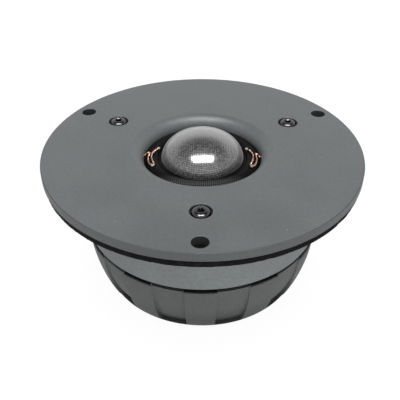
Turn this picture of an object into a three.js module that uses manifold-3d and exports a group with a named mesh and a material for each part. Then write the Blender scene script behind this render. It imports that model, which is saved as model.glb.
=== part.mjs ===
// Flush-mount dome tweeter: a round faceplate with a flared throat, a textile dome on a half-roll
// surround, a six-magnet motor, a housing band and a vented, panelled rear cup.
// Millimetres, +Z up along the dome's axis, -Y to the front. The origin is the middle of the cup's flat base.
import * as THREE from 'three';
import { mergeVertices } from 'three/addons/utils/BufferGeometryUtils.js';
import Module from 'manifold-3d';

// ---------- driving dimensions ----------
const DEPTH = 48;                 // cup base to faceplate top
const PLATE_R = 52;
const FLANGE_T = 3;               // faceplate rim thickness
const HUB_DROP = 3;               // how far the faceplate hub reaches below the rim
const LIP_W = 4.2;                // radial width of the flare round the throat
const MOUNT_HOLE_R = 2.5;
const MOUNT_EDGE = 4.5;           // plate edge to the middle of a mounting hole
const SCREW_EDGE = 2.95;          // hub edge to the middle of a faceplate screw
const PLATE_SCREW_COUNT = 3;

const DOME_R = 13.5;
const DOME_H = 8.9;
const DOME_T = 0.3;
const DOME_SKIRT = 0.9;           // cylindrical edge glued in the former
const DOME_DROP = 3.85;           // dome base below the faceplate top
const FORMER_T = 0.2;
const COIL_T = 0.4;
const COIL_H = 3.4;
const ROLL_W = 4.6;               // surround roll, edge to edge
const ROLL_RISE = 0.9;            // crest above the dome base
const ROLL_DROP = 0.7;            // outer edge below the dome base
const SHEET_T = 0.25;             // surround sheet
const LAND_W = 2.4;               // surround's flat outer land

const TOP_PLATE_T = 4;
const MAGNET_R = 6.5;
const MAGNET_T = 6;
const MAGNET_COUNT = 6;
const YOKE_T = 5;
const VENT_R = 5;                 // bore through the pole
const CAP_T = 0.25;               // copper cap

const BAND_R = 39.5;
const BAND_WALL = 2;
const BAND_LEDGE_W = 1.8;         // inward ledge at the band's lower edge
const BAND_LEDGE_T = 2;
const SEAM_DEPTH = 25.85;         // faceplate top to the band's lower edge
const SEAM_GAP = 0.3;             // shadow line between band and cup
const GASKET_T = 2.4;
const GASKET_EDGE = 0.9;          // plate edge to the gasket
const GASKET_GAP = 1.7;           // band to gasket

const CUP_PROUD = 0.2;            // cup rim beyond the band
const CUP_TAPER = 6.2;            // rim to base
const CUP_FLOOR_T = 3;
const CUP_WALL = 3.5;
const SPIGOT_T = 1.2;             // ring on the rim that centres the cup in the band
const BOWL_POWER = 1.56;          // exponent of the bowl's rounded section
const PANEL_COUNT = 12;           // raised panels, each with a vent slot at its top
const POCKET_RIM_DEPTH = 0.5;     // panels between them, lower by this much at the rim
const POCKET_BASE_DEPTH = 2.3;    // and by this much at the base
const POCKET_FOOT = 2.5;          // height of the plain ring under the pockets
const SLOT_H = 1.2;

const CUP_SCREW_PITCH_R = 18;
const SCREW_R = 1.3;              // M3 core, all screws
const HEAD_R = 2.85;
const HEAD_H = 1.65;
const HEX_ACROSS = 2;
const STANDOFF_R = 3;

const BOARD_W = 19.4;             // terminal board
const BOARD_H = 8.4;
const BOARD_PROUD = 1.5;          // stands out of the band
const TAB_T = 0.8;
const TAB_REACH = 7;              // tab length outside the board
const TAB_SPREAD = 10;            // tab to tab
const TABS = { terminal_tab_positive: { side: 1, width: 4.8 }, terminal_tab_negative: { side: -1, width: 2.8 } };
const LEAD_R = 0.25;
const HOOKUP_R = 0.6;
const HOOKUP_LANE = 0.5;          // yoke edge to the wires' middle, on their way round

// ---------- clearances ----------
const GLUE = 0.15;                // bonded round pieces
const COIL_GAP = 0.4;             // coil to top plate, cap to former
const FIT = 0.3;                  // housed and screwed pieces
const HEAD_GAP = 0.55;            // screw head in its counterbore
const FOAM_GAP = 1.2;

// ---------- facets ----------
const LARGE = 60;
const MEDIUM = 36;
const SMALL = 12;
const SLIVER = 0.002;             // edges shorter than this are cleaned off a cut solid

// ---------- heights ----------
const plateTop = DEPTH;
const rimUnder = plateTop - FLANGE_T;
const hubUnder = rimUnder - HUB_DROP;
const topPlateUnder = hubUnder - TOP_PLATE_T;
const magnetUnder = topPlateUnder - MAGNET_T;
const yokeUnder = magnetUnder - YOKE_T;
const seamZ = plateTop - SEAM_DEPTH;
const domeBase = plateTop - DOME_DROP;
const rollOuterZ = domeBase - ROLL_DROP;
const rollCrestZ = domeBase + ROLL_RISE;
const landUnder = rollOuterZ - SHEET_T;
const coilMidZ = (hubUnder + topPlateUnder) / 2;
const poleTop = hubUnder - 0.4;
const boardMidZ = topPlateUnder - FIT - BOARD_H / 2;

// ---------- radii ----------
const formerIn = DOME_R + GLUE;
const formerOut = formerIn + FORMER_T;
const coilIn = formerOut + 0.05;
const coilOut = coilIn + COIL_T;
const topPlateBore = coilOut + COIL_GAP;
const capOut = formerIn - COIL_GAP;
const poleR = capOut - CAP_T - 0.05;
const rollIn = formerOut + GLUE + 0.5;
const rollOut = rollIn + ROLL_W;
const rollMid = (rollIn + rollOut) / 2;
const throatR = rollOut + 0.25;
const lipR = throatR + LIP_W;
const landOut = rollOut + LAND_W;
const carrierOut = landOut + 1.6;
const hookupHoleR = carrierOut + HOOKUP_R + 0.8;   // radius on which the hook-up wires rise
const recessR = hookupHoleR + HOOKUP_R + 1.2;
const magnetPitchR = topPlateBore + MAGNET_R + 2.8;
const yokeR = magnetPitchR + MAGNET_R + 3;
const bandIn = BAND_R - BAND_WALL;
const hubR = bandIn - FIT;
const gasketIn = BAND_R + GASKET_GAP;
const gasketOut = PLATE_R - GASKET_EDGE;
const mountPitchR = PLATE_R - MOUNT_EDGE;
const screwPitchR = hubR - SCREW_EDGE;
const cupRimR = BAND_R + CUP_PROUD;
const cupBaseR = cupRimR - CUP_TAPER;
const screwHoleR = SCREW_R + FIT;
const panelStep = 360 / PANEL_COUNT;
const panelWidth = panelStep / 2;

// ---------- finishes ----------
const finish = (color, roughness, metalness) => new THREE.MeshStandardMaterial({ color, roughness, metalness });
const FINISHES = {
  satinPlate: finish(0x6e706f, 0.5, 0.6),
  mouldedBand: finish(0x77797a, 0.5, 0.1),
  mouldedCup: finish(0x555756, 0.55, 0.0),
  foam: finish(0x1c1d1e, 0.95, 0.0),
  blackSteel: finish(0x1b1c1e, 0.35, 0.9),
  steel: finish(0xa5a7a8, 0.35, 0.95),
  nickel: finish(0xc3c3bd, 0.25, 1.0),
  copper: finish(0xb8714a, 0.35, 1.0),
  brass: finish(0xb99b54, 0.35, 1.0),
  domeCloth: finish(0x2b2c2e, 0.4, 0.0),
  rollSheet: finish(0x17181a, 0.3, 0.0),
  former: finish(0xcfcfca, 0.35, 0.8),
  plastic: finish(0x222325, 0.6, 0.0),
  insulation: finish(0x8e1f1c, 0.5, 0.0),
};

// ---------- solids ----------
const kernel = await Module();
kernel.setup();

const rad = THREE.MathUtils.degToRad;
const p = (x, y) => new THREE.Vector2(x, y);

// A bearing is counted in degrees from the front (-Y), anticlockwise seen from above.
const atBearing = (radius, bearing) => p(radius * Math.sin(rad(bearing)), -radius * Math.cos(rad(bearing)));

function toSolid(geometry) {
  const bare = new THREE.BufferGeometry();
  bare.setAttribute('position', geometry.getAttribute('position'));
  bare.setIndex(geometry.getIndex());
  const welded = mergeVertices(bare, 1e-4);
  const corners = welded.getIndex().array;
  const kept = [];
  for (let i = 0; i < corners.length; i += 3) {
    const [a, b, c] = [corners[i], corners[i + 1], corners[i + 2]];
    if (a !== b && b !== c && c !== a) kept.push(a, b, c);
  }
  const mesh = new kernel.Mesh({
    numProp: 3,
    vertProperties: new Float32Array(welded.getAttribute('position').array),
    triVerts: new Uint32Array(kept),
  });
  return new kernel.Manifold(mesh);
}

function toGeometry(solid) {
  const mesh = solid.simplify(SLIVER).getMesh();
  const geometry = new THREE.BufferGeometry();
  geometry.setAttribute('position', new THREE.BufferAttribute(new Float32Array(mesh.vertProperties), 3));
  geometry.setIndex(new THREE.BufferAttribute(new Uint32Array(mesh.triVerts), 1));
  geometry.computeVertexNormals();
  return geometry;
}

// Joins the added shapes to the base and then cuts the tools away.
function combine(base, { add = [], cut = [] }) {
  let solid = toSolid(base);
  for (const shape of add) solid = solid.add(toSolid(shape));
  for (const tool of cut) solid = solid.subtract(toSolid(tool));
  return toGeometry(solid);
}

// A turned shape. The profile is (radius, height), run anticlockwise with the axis on the left.
function turned(profile, facets = LARGE) {
  const loop = profile[0].x === 0 ? profile : [...profile, profile[0].clone()];
  return new THREE.LatheGeometry(loop, facets).rotateX(Math.PI / 2);
}

const ring = (inner, outer, low, high, facets = LARGE) =>
  turned([p(inner, low), p(outer, low), p(outer, high), p(inner, high)], facets);

const disc = (radius, low, high, facets = LARGE) =>
  turned([p(0, low), p(radius, low), p(radius, high), p(0, high)], facets);

function post(radius, low, high, centre, facets = SMALL) {
  return disc(radius, low, high, facets).translate(centre.x, centre.y, 0);
}

function box(width, depth, low, high, centre = p(0, 0)) {
  return new THREE.BoxGeometry(width, depth, high - low).translate(centre.x, centre.y, (low + high) / 2);
}

// A wedge of the given angular width about the axis.
function wedge(bearing, width, radius, low, high) {
  const shape = new THREE.Shape([p(0, 0), atBearing(radius, bearing - width / 2), atBearing(radius, bearing + width / 2)]);
  return new THREE.ExtrudeGeometry(shape, { depth: high - low, bevelEnabled: false }).translate(0, 0, low);
}

function tube(points, radius, steps, sides) {
  const section = new THREE.Shape();
  for (let i = 0; i < sides; i += 1) {
    const angle = (2 * Math.PI * i) / sides;
    section[i ? 'lineTo' : 'moveTo'](radius * Math.cos(angle), radius * Math.sin(angle));
  }
  const path = new THREE.CatmullRomCurve3(points);
  return new THREE.ExtrudeGeometry(section, { steps, bevelEnabled: false, extrudePath: path });
}

// Points on a rounded bowl section, from its base up to its rim.
function bowl(rimR, baseR, rimZ, baseZ, steps) {
  const points = [];
  for (let i = 0; i <= steps; i += 1) {
    const turn = (Math.PI / 2) * (i / steps);
    const out = Math.sin(turn) ** (2 / BOWL_POWER);
    const down = Math.cos(turn) ** (2 / BOWL_POWER);
    points.push(p(baseR + (rimR - baseR) * out, rimZ - (rimZ - baseZ) * down));
  }
  return points;
}

const bearings = (count, first = 0) => Array.from({ length: count }, (_, i) => first + (360 / count) * i);

const tweeter = new THREE.Group();

function part(name, geometry, material, group = tweeter) {
  const mesh = new THREE.Mesh(geometry, material);
  mesh.name = name;
  group.add(mesh);
}

// ---------- faceplate and its fasteners ----------
const headSeat = plateTop - HEAD_H + 0.45;      // underside of a screw head
const recessTop = rollOuterZ + 1;
const notchY = 0.9;

function faceplate() {
  const lip = [];
  const lipSteps = 5;
  for (let i = 0; i <= lipSteps; i += 1) {
    const turn = (Math.PI / 2) * (i / lipSteps);
    lip.push(p(lipR - LIP_W * Math.sin(turn), rollOuterZ + (plateTop - rollOuterZ) * Math.cos(turn)));
  }
  const profile = [
    p(landOut + 0.05, rollOuterZ), p(landOut + 0.05, recessTop), p(recessR, recessTop), p(recessR, hubUnder),
    p(hubR, hubUnder), p(hubR, rimUnder), p(PLATE_R, rimUnder), p(PLATE_R, plateTop), ...lip,
  ];
  const cut = [];
  for (const bearing of bearings(PLATE_SCREW_COUNT)) {
    const screw = atBearing(screwPitchR, bearing);
    cut.push(post(MOUNT_HOLE_R, rimUnder - 1, plateTop + 1, atBearing(mountPitchR, bearing), 16));
    cut.push(post(HEAD_R + HEAD_GAP, headSeat, plateTop + 1, screw, 16));
    cut.push(post(SCREW_R + FIT, hubUnder - 1, plateTop, screw));
  }
  for (const side of [-1, 1]) {
    const span = landOut + 1 - (throatR - 1);
    const middle = p(side * (throatR - 1 + span / 2), notchY);
    cut.push(box(span, 1.8, rollOuterZ - 1, recessTop, middle));
  }
  return combine(turned(profile), { cut });
}

// A button-head screw with a hexagon socket, its head's underside at the origin, its shank pointing down.
function buttonScrew(length) {
  const crown = [];
  const crownSteps = 3;
  for (let i = 0; i <= crownSteps; i += 1) {
    const turn = (Math.PI / 2) * (i / crownSteps);
    const flat = HEX_ACROSS * 0.75;
    crown.push(p(flat + (HEAD_R - flat) * Math.cos(turn), 0.3 + (HEAD_H - 0.3) * Math.sin(turn)));
  }
  const body = turned([p(0, -length), p(SCREW_R, -length), p(SCREW_R, 0), p(HEAD_R, 0), ...crown, p(0, HEAD_H)], SMALL);
  const socket = disc(HEX_ACROSS / Math.sqrt(3), HEAD_H - 1.1, HEAD_H + 1, 6);
  return combine(body, { cut: [socket] });
}

function addPlateScrews() {
  bearings(PLATE_SCREW_COUNT).forEach((bearing, i) => {
    const centre = atBearing(screwPitchR, bearing);
    const screw = buttonScrew(headSeat - topPlateUnder - 1).translate(centre.x, centre.y, headSeat);
    part(`faceplate_screw_${i + 1}`, screw, FINISHES.blackSteel);
  });
}

// ---------- diaphragm ----------
function ellipseCap(radius, height, base, steps) {
  const points = [];
  for (let i = 0; i <= steps; i += 1) {
    const turn = (Math.PI / 2) * (i / steps);
    points.push(p(i === steps ? 0 : radius * Math.cos(turn), base + height * Math.sin(turn)));
  }
  return points;
}

function dome() {
  const outer = ellipseCap(DOME_R, DOME_H, domeBase, 7);
  const inner = ellipseCap(DOME_R - DOME_T, DOME_H - DOME_T, domeBase, 7).reverse();
  const skirt = domeBase - DOME_SKIRT;
  return turned([...inner, p(DOME_R - DOME_T, skirt), p(DOME_R, skirt), ...outer], MEDIUM);
}

// Height of the roll's upper surface: an arch between the higher inner and the lower outer edge.
function rollTop(radius) {
  const across = THREE.MathUtils.clamp((radius - rollMid) / (ROLL_W / 2), -1, 1);
  const chord = domeBase - (ROLL_DROP * (1 + across)) / 2;
  const middleChord = domeBase - ROLL_DROP / 2;
  return chord + (rollCrestZ - middleChord) * Math.sqrt(1 - across * across);
}

function surround() {
  const upper = [];
  const lower = [];
  const arcSteps = 6;
  for (let i = 0; i <= arcSteps; i += 1) {
    const across = -Math.cos((Math.PI * i) / arcSteps);
    const radius = rollMid + across * (ROLL_W / 2);
    upper.push(p(radius, rollTop(radius)));
    lower.push(p(rollMid + across * (ROLL_W / 2 - SHEET_T), rollTop(radius) - SHEET_T));
  }
  const profile = [
    p(rollIn - 0.5, domeBase - SHEET_T), ...lower, p(landOut, landUnder), p(landOut, rollOuterZ),
    ...upper.reverse(), p(rollIn - 0.5, domeBase),
  ];
  return turned(profile, MEDIUM);
}

function addDiaphragm() {
  part('dome', dome(), FINISHES.domeCloth);
  part('surround', surround(), FINISHES.rollSheet);
  part('coil_former', ring(formerIn, formerOut, coilMidZ - COIL_H / 2 - 0.3, domeBase - 0.05, MEDIUM), FINISHES.former);
  part('voice_coil', ring(coilIn, coilOut, coilMidZ - COIL_H / 2, coilMidZ + COIL_H / 2, MEDIUM), FINISHES.copper);
  part('diaphragm_carrier', ring(throatR + 0.4, carrierOut, hubUnder, landUnder), FINISHES.plastic);
}

// A relief loop: out of the notch, along the outside of the roll, round a hairpin and back to the coil.
// Each point is its distance inside the throat and its distance behind the middle.
const LEAD_ROUTE = [
  [0.95, 0.9], [1.85, 0.6], [1.6, -1.2], [1.65, -3.4], [2.25, -5.6], [3.25, -6.9],
  [3.85, -6.3], [3.25, -4.6], [2.75, -2.2], [2.85, 0.2], [3.75, 2.2], [4.65, 3.4],
];

function addLead(name, side) {
  const onLug = landUnder + 0.3 + LEAD_R + 0.05;
  const points = [new THREE.Vector3(side * (landOut + 1.2), notchY, onLug)];
  points.push(new THREE.Vector3(side * (throatR + 0.2), notchY, onLug));
  for (const [inside, y] of LEAD_ROUTE) {
    const x = throatR - inside;
    const height = rollTop(Math.hypot(x, y)) + LEAD_R + 0.12;
    points.push(new THREE.Vector3(side * x, y, height));
  }
  part(`lead_wire_${name}`, tube(points, LEAD_R, 36, 6), FINISHES.copper);
  const lugLength = recessR - landOut - 0.5;
  const lug = box(lugLength, 2.4, landUnder, landUnder + 0.3, p(side * (landOut + 0.25 + lugLength / 2), notchY));
  part(`lead_lug_${name}`, lug, FINISHES.brass);
}

// ---------- motor ----------
function topPlate() {
  const cut = [];
  for (const bearing of bearings(PLATE_SCREW_COUNT)) {
    cut.push(post(screwHoleR, topPlateUnder - 1, hubUnder + 1, atBearing(screwPitchR, bearing)));
  }
  for (const side of [-1, 1]) {
    cut.push(post(HOOKUP_R + FIT, topPlateUnder - 1, hubUnder + 1, p(side * hookupHoleR, 0)));
  }
  return combine(ring(topPlateBore, hubR, topPlateUnder, hubUnder), { cut });
}

function yoke() {
  const profile = [p(VENT_R, yokeUnder), p(yokeR, yokeUnder), p(yokeR, magnetUnder), p(poleR, magnetUnder),
    p(poleR, poleTop), p(VENT_R, poleTop)];
  return turned(profile, MEDIUM);
}

function shortingCap() {
  const foot = topPlateUnder - 1.5;
  const profile = [p(capOut - CAP_T, foot), p(capOut, foot), p(capOut, poleTop + CAP_T), p(VENT_R, poleTop + CAP_T),
    p(VENT_R, poleTop), p(capOut - CAP_T, poleTop)];
  return turned(profile, MEDIUM);
}

function domeDamper() {
  const low = poleTop + CAP_T;
  const shoulder = low + 0.6;
  const cap = ellipseCap(capOut - 0.9, domeBase + DOME_H - 4.1 - shoulder, shoulder, 5);
  return turned([p(0, low), p(capOut - 0.9, low), ...cap], MEDIUM);
}

function addMotor() {
  part('top_plate', topPlate(), FINISHES.steel);
  bearings(MAGNET_COUNT).forEach((bearing, i) => {
    const magnet = post(MAGNET_R, magnetUnder, topPlateUnder, atBearing(magnetPitchR, bearing), 16);
    part(`magnet_${i + 1}`, magnet, FINISHES.nickel);
  });
  part('yoke', yoke(), FINISHES.steel);
  part('shorting_cap', shortingCap(), FINISHES.copper);
  part('dome_damper', domeDamper(), FINISHES.foam);
  part('vent_felt', disc(VENT_R - FIT, magnetUnder - 2, magnetUnder + 4, MEDIUM), FINISHES.foam);
}

// ---------- housing band, gasket and terminals ----------
function housingBand() {
  const profile = [
    p(bandIn - BAND_LEDGE_W, seamZ), p(BAND_R, seamZ), p(BAND_R, rimUnder), p(bandIn, rimUnder),
    p(bandIn, seamZ + BAND_LEDGE_T), p(bandIn - BAND_LEDGE_W, seamZ + BAND_LEDGE_T),
  ];
  const low = boardMidZ - BOARD_H / 2 - FIT;
  const high = boardMidZ + BOARD_H / 2 + FIT;
  const window = box(BOARD_W + 2 * FIT, BAND_R, low, high, p(0, bandIn));
  return combine(turned(profile), { cut: [window] });
}

function terminalBoard() {
  const inner = yokeR + FIT;
  const outer = BAND_R + BOARD_PROUD;
  const body = box(BOARD_W, outer - inner, boardMidZ - BOARD_H / 2, boardMidZ + BOARD_H / 2, p(0, (inner + outer) / 2));
  const cut = Object.values(TABS).map(({ side, width }) => {
    const slot = p((side * TAB_SPREAD) / 2, (inner + outer) / 2);
    return box(width + 2 * FIT, outer - inner + 2, boardMidZ - TAB_T / 2 - FIT, boardMidZ + TAB_T / 2 + FIT, slot);
  });
  return combine(body, { cut });
}

// Each wire runs from its tab, round inside the band, between two magnets and up to its lug.
function addHookupWire(name, side) {
  const laneR = yokeR + HOOKUP_LANE;
  const tabEnd = yokeR + FIT - 1;
  const wireZ = boardMidZ + TAB_T / 2 + HOOKUP_R + 0.1;
  const points = [new THREE.Vector3((side * TAB_SPREAD) / 2, tabEnd + 0.3, wireZ)];
  for (const bearing of [163, 150, 135, 120, 105]) {
    const spot = atBearing(laneR, bearing);
    points.push(new THREE.Vector3(side * spot.x, spot.y, wireZ));
  }
  points.push(new THREE.Vector3(side * (laneR - 1.6), 1.6, wireZ));
  points.push(new THREE.Vector3(side * (hookupHoleR + 2.4), 0.2, wireZ + 0.2));
  points.push(new THREE.Vector3(side * hookupHoleR, 0, topPlateUnder - 0.6));
  points.push(new THREE.Vector3(side * hookupHoleR, 0, landUnder - FIT));
  part(`hookup_wire_${name}`, tube(points, HOOKUP_R, 28, 6), FINISHES.insulation);
}

function addHousing() {
  part('housing_band', housingBand(), FINISHES.mouldedBand);
  part('mounting_gasket', ring(gasketIn, gasketOut, rimUnder - GASKET_T, rimUnder), FINISHES.foam);
  part('terminal_board', terminalBoard(), FINISHES.plastic);
  for (const [name, { side, width }] of Object.entries(TABS)) {
    const from = yokeR + FIT - 1;
    const to = BAND_R + BOARD_PROUD + TAB_REACH;
    const middle = p((side * TAB_SPREAD) / 2, (from + to) / 2);
    part(name, box(width, to - from, boardMidZ - TAB_T / 2, boardMidZ + TAB_T / 2, middle), FINISHES.brass);
  }
}

// ---------- rear cup ----------
function rearCup() {
  const rimZ = seamZ - SEAM_GAP;
  const outer = bowl(cupRimR, cupBaseR, rimZ, 0, 6);
  const inner = bowl(cupRimR - CUP_WALL, cupBaseR - CUP_WALL, seamZ, CUP_FLOOR_T, 4).reverse();
  const spigotR = cupRimR - CUP_WALL + SPIGOT_T;
  const shell = turned([p(0, 0), ...outer, p(spigotR, rimZ), p(spigotR, seamZ), ...inner, p(0, CUP_FLOOR_T)]);

  const floor = bowl(cupRimR - POCKET_RIM_DEPTH, cupBaseR - POCKET_BASE_DEPTH, rimZ, 0, 6);
  const pocketInner = floor.filter((point) => point.y > POCKET_FOOT + 0.5);
  const footR = pocketInner[0].x - 0.9;
  const around = toSolid(turned([p(footR, POCKET_FOOT), p(cupRimR + 2, POCKET_FOOT), p(cupRimR + 2, rimZ + 1),
    p(cupRimR - POCKET_RIM_DEPTH, rimZ + 1), ...pocketInner.reverse()]));
  let solid = toSolid(shell);
  for (const bearing of bearings(PANEL_COUNT, panelWidth)) {
    solid = solid.subtract(around.intersect(toSolid(wedge(bearing, panelWidth, 2 * cupRimR, 0, seamZ + 1))));
  }
  const cut = [];
  for (const bearing of bearings(PANEL_COUNT)) {
    const slot = wedge(bearing, panelWidth, 2 * cupRimR, rimZ - SLOT_H, seamZ + 1);
    const throughWall = ring(cupRimR - CUP_WALL - 1, cupRimR + 2, rimZ - SLOT_H, seamZ + 1);
    solid = solid.subtract(toSolid(slot).intersect(toSolid(throughWall)));
  }
  for (const bearing of bearings(PLATE_SCREW_COUNT, 60)) {
    const centre = atBearing(CUP_SCREW_PITCH_R, bearing);
    cut.push(post(HEAD_R + FIT, -1, HEAD_H + 0.3, centre));
    cut.push(post(screwHoleR, -1, CUP_FLOOR_T + 1, centre));
  }
  return combine(toGeometry(solid), { cut });
}

function chamberFoam() {
  const rimR = cupRimR - CUP_WALL - FOAM_GAP;
  const sides = bowl(rimR, cupBaseR - CUP_WALL - FOAM_GAP - 1, seamZ - 2, CUP_FLOOR_T, 5);
  const profile = [p(0, CUP_FLOOR_T), ...sides, p(rimR - 2, yokeUnder - 0.5), p(0, yokeUnder - 0.5)];
  const cut = bearings(PLATE_SCREW_COUNT, 60).map((bearing) =>
    post(STANDOFF_R + FIT, CUP_FLOOR_T - 1, yokeUnder + 1, atBearing(CUP_SCREW_PITCH_R, bearing)));
  return combine(turned(profile, MEDIUM), { cut });
}

function addRearCup() {
  part('rear_cup', rearCup(), FINISHES.mouldedCup);
  part('chamber_foam', chamberFoam(), FINISHES.foam);
  bearings(PLATE_SCREW_COUNT, 60).forEach((bearing, i) => {
    const centre = atBearing(CUP_SCREW_PITCH_R, bearing);
    const bore = post(screwHoleR, CUP_FLOOR_T - 1, CUP_FLOOR_T + 8, centre);
    const standoff = post(STANDOFF_R, CUP_FLOOR_T, yokeUnder, centre, 6);
    part(`standoff_${i + 1}`, combine(standoff, { cut: [bore] }), FINISHES.nickel);
    const screw = buttonScrew(6).rotateX(Math.PI).translate(centre.x, centre.y, HEAD_H + 0.3);
    part(`cup_screw_${i + 1}`, screw, FINISHES.blackSteel);
  });
}

part('faceplate', faceplate(), FINISHES.satinPlate);
addPlateScrews();
addDiaphragm();
addLead('left', -1);
addLead('right', 1);
addMotor();
addHousing();
addHookupWire('left', -1);
addHookupWire('right', 1);
addRearCup();

export default tweeter;
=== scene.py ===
"""Flush-mount dome tweeter: its finished pieces, materials and studio, built round the fixed frame.

Blender works in metres here, and MM turns millimetres into them. +Z is up along the dome's axis and -Y is
the front. A bearing is counted in degrees from the front, anticlockwise seen from above.
"""

import math

import bmesh
import bpy
from bpy.props import FloatProperty, FloatVectorProperty, IntProperty, PointerProperty
from mathutils import Matrix, Vector, noise


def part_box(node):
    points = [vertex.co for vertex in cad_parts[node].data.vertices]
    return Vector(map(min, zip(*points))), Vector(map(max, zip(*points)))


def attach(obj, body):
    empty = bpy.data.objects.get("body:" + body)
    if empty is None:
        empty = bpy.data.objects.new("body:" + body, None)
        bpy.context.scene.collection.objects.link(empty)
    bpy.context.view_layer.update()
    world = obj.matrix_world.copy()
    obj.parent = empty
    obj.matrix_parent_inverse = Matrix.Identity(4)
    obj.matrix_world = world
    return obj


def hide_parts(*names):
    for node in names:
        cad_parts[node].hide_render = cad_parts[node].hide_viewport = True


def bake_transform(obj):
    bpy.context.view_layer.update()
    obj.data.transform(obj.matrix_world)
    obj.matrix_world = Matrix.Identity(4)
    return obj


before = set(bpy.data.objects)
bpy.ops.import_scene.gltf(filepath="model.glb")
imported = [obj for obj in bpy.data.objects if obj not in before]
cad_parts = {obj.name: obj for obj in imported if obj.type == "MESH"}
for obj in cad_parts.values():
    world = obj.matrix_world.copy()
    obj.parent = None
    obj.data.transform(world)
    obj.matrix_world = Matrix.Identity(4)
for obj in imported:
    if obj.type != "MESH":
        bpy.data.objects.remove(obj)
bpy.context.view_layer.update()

bl_info = {
    "name": "Dome Tweeter",
    "version": (1, 0, 0),
    "blender": (4, 5, 0),
    "location": "3D View > Sidebar > Tweeter",
    "description": "Builds a flush-mount dome tweeter and its studio, piece by piece",
    "category": "Object",
}

MM = 0.001
TURN = 2 * math.pi
RING_STEPS = 192
FINE_RING_STEPS = 384
BORE_STEPS = 64
WELD = 1e-7
WIRE_STEPS = 3
SHARP = math.radians(34)


# ---------- places read from the frame ----------

def lowest(node):
    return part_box(node)[0]


def highest(node):
    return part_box(node)[1]


PLATE_TOP = highest("faceplate").z
PLATE_RADIUS = highest("faceplate").x
RIM_UNDER = highest("mounting_gasket").z
HUB_UNDER = lowest("faceplate").z
HUB_RADIUS = highest("top_plate").x
BAND_RADIUS = highest("housing_band").x
BAND_UNDER = lowest("housing_band").z
DOME_RADIUS = highest("dome").x
DOME_TOP = highest("dome").z
SKIRT_UNDER = lowest("dome").z
LAND_UNDER = lowest("surround").z
LAND_RADIUS = highest("surround").x
CREST = highest("surround").z
BOARD_LOW, BOARD_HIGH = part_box("terminal_board")
LAND_WIDTH = 2.4 * MM
ROLL_OUTER = LAND_RADIUS - LAND_WIDTH


# ---------- sizes and colours that a user may change ----------

def length(name, description, millimetres):
    return FloatProperty(name=name, description=description, default=millimetres * MM, unit="LENGTH",
                         precision=5)


def colour(name, description, red, green, blue):
    shade = (red / 255, green / 255, blue / 255)
    return FloatVectorProperty(name=name, description=description, subtype="COLOR_GAMMA", size=3,
                               default=shade, min=0, max=1)


class PlateSettings(bpy.types.PropertyGroup):
    lip_width: length("Lip width", "Radial width of the flare round the throat", 4.2)
    throat_gap: length("Throat gap", "Gap between the surround's roll and the throat", 0.25)
    rim_round: length("Rim rounding", "Rounding of the plate's outer edges", 0.22)
    hole_radius: length("Mounting hole radius", "Radius of the three mounting holes", 2.5)
    hole_edge: length("Mounting hole edge", "From the plate's edge to the middle of a mounting hole", 4.5)
    hole_round: length("Hole rounding", "Rounding of the holes' edges", 0.15)
    bore_radius: length("Counterbore radius", "Radius of the screws' counterbores", 3.4)


class ScrewSettings(bpy.types.PropertyGroup):
    head_radius: length("Head radius", "Radius of a button head", 2.85)
    head_height: length("Head height", "Height of a button head", 1.65)
    core_radius: length("Core radius", "Radius of the shank at the thread's root", 1.3)
    thread_pitch: length("Thread pitch", "Rise of the thread in one turn", 0.5)
    hex_across: length("Hexagon size", "Across the flats of the socket", 2.0)


class DomeSettings(bpy.types.PropertyGroup):
    cloth: length("Cloth thickness", "Thickness of the coated cloth", 0.3)
    weave: length("Weave pitch", "From one thread to the next", 0.6)
    skirt: length("Skirt", "Height of the dome's straight edge", 0.9)
    roll_width: length("Roll width", "Width of the surround's roll", 4.6)
    roll_drop: length("Roll drop", "Outer edge of the roll below its inner edge", 0.7)
    sheet: length("Sheet thickness", "Thickness of the surround", 0.25)


class LeadSettings(bpy.types.PropertyGroup):
    radius: length("Lead radius", "Radius of a twisted lead", 0.29)
    strands: IntProperty(name="Strands", description="Strands twisted into one lead", default=3, min=2,
                         max=7)
    lay: length("Lay length", "Length of one turn of the strands", 1.5)


class CupSettings(bpy.types.PropertyGroup):
    rim_proud: length("Rim proud", "How far the cup's rim stands beyond the band", 0.2)
    taper: length("Taper", "From the rim's radius to the base's", 6.2)
    seam: length("Seam", "Gap between the band and the cup", 0.3)
    wall: length("Wall", "Thickness of the cup's wall", 3.5)
    floor: length("Floor", "Thickness of the cup's floor", 3.0)
    panels: IntProperty(name="Panels", description="Raised panels, each under a vent slot", default=12,
                        min=4, max=24)
    pocket_rim: length("Pocket depth at the rim", "How far the pockets lie back at the rim", 0.5)
    pocket_base: length("Pocket depth at the base", "How far they lie back at the base", 2.3)
    spigot: length("Spigot wall", "Thickness of the ring that enters the band", 1.2)
    foot: length("Foot", "Height of the plain ring under the pockets", 1.2)
    slot: length("Slot height", "Height of a vent slot", 1.2)
    edge_round: length("Edge rounding", "Rounding of the panels' edges", 0.3)


class FinishSettings(bpy.types.PropertyGroup):
    plate: colour("Plate", "Satin paint of the faceplate", 121, 126, 128)
    band: colour("Band", "Textured moulding of the housing band", 137, 142, 143)
    cup: colour("Cup", "Textured moulding of the rear cup", 101, 103, 103)
    cloth: colour("Cloth", "Threads of the dome", 68, 69, 68)
    roll: colour("Surround", "Coated surround", 6, 6, 7)
    foam: colour("Foam", "Gasket and damping foam", 16, 16, 18)
    copper: colour("Copper", "Bare copper of the leads", 246, 196, 172)
    screw: colour("Screws", "Plated button heads", 92, 92, 95)


class StudioSettings(bpy.types.PropertyGroup):
    lens: FloatProperty(name="Lens", description="Focal length on a 36 mm sensor", default=52.77,
                        unit="CAMERA")
    top_level: FloatProperty(name="Top light", description="Level of the two broad fill lights", default=1.0)
    glint_level: FloatProperty(name="Glint", description="Level of the panels seen in gloss", default=1.0)
    floor_shade: colour("Floor", "Plain pale floor", 128, 128, 128)


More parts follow.
